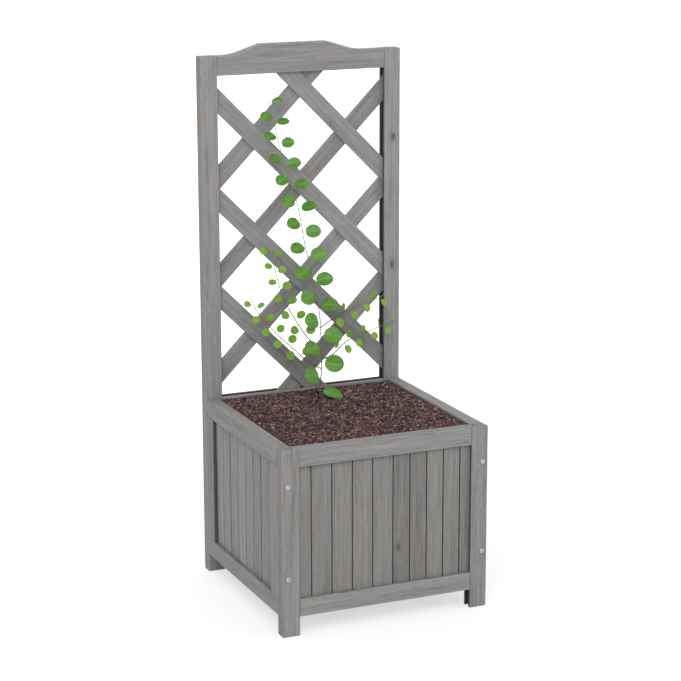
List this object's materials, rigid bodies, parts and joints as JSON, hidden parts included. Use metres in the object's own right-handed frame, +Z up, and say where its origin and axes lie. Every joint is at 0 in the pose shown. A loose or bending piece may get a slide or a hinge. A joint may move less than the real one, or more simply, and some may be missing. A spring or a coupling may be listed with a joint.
{
  "type": "planter with trellis",
  "caption": "Square wooden planter box of grooved frames and vertical boards, with an arched diagonal trellis back, soil and a young climber.",
  "frame": {"origin": "on the floor, under the middle of the box's footprint", "axes": "+Z up, -Y towards the front of the box, trellis on the +Y side, +X to the right seen from the front"},
  "size_m": [0.4, 0.404, 1],
  "materials": {
    "frame_wood": "grey glazed fir frame stock, matt",
    "board_wood": "grey glazed fir tongue-and-groove boards, matt",
    "lattice_wood": "grey glazed fir slats, matt",
    "base_wood": "grey glazed fir base boards and battens",
    "screw_steel": "bright zinc-plated steel",
    "nail_steel": "plain steel",
    "bark_soil": "loose reddish-brown bark compost",
    "vine_stem": "thin woody stem",
    "vine_leaf": "fresh green leaf, satin"
  },
  "bodies": {
    "root": {"base_boards": "base_wood", "base_cleats": "base_wood", "cleat_nails": "nail_steel", "corner_screws": "screw_steel", "falling_slat_1": "lattice_wood", "falling_slat_2": "lattice_wood", "falling_slat_3": "lattice_wood", "falling_slat_4": "lattice_wood", "front_board_01": "board_wood", "front_board_02": "board_wood", "front_board_03": "board_wood", "front_board_04": "board_wood", "front_board_05": "board_wood", "front_board_06": "board_wood", "front_board_07": "board_wood", "front_board_08": "board_wood", "front_board_09": "board_wood", "front_board_10": "board_wood", "front_bottom_rail": "frame_wood", "front_top_rail": "frame_wood", "lattice_nails": "nail_steel", "left_board_1": "board_wood", "left_board_2": "board_wood", "left_board_3": "board_wood", "left_board_4": "board_wood", "left_board_5": "board_wood", "left_board_6": "board_wood", "left_board_7": "board_wood", "left_board_8": "board_wood", "left_bottom_rail": "frame_wood", "left_front_stile": "frame_wood", "left_rear_stile": "frame_wood", "left_top_rail": "frame_wood", "leg_front_left": "frame_wood", "leg_front_right": "frame_wood", "rear_boards": "board_wood", "rear_bottom_rail": "frame_wood", "rear_post_left": "frame_wood", "rear_post_right": "frame_wood", "right_board_1": "board_wood", "right_board_2": "board_wood", "right_board_3": "board_wood", "right_board_4": "board_wood", "right_board_5": "board_wood", "right_board_6": "board_wood", "right_board_7": "board_wood", "right_board_8": "board_wood", "right_bottom_rail": "frame_wood", "right_front_stile": "frame_wood", "right_rear_stile": "frame_wood", "right_top_rail": "frame_wood", "rising_slat_1": "lattice_wood", "rising_slat_2": "lattice_wood", "rising_slat_3": "lattice_wood", "rising_slat_4": "lattice_wood", "soil_fill": "bark_soil", "trellis_mid_rail": "frame_wood", "trellis_top_rail": "frame_wood", "vine_leaves": "vine_leaf", "vine_stems": "vine_stem"}
  },
  "joints": []
}
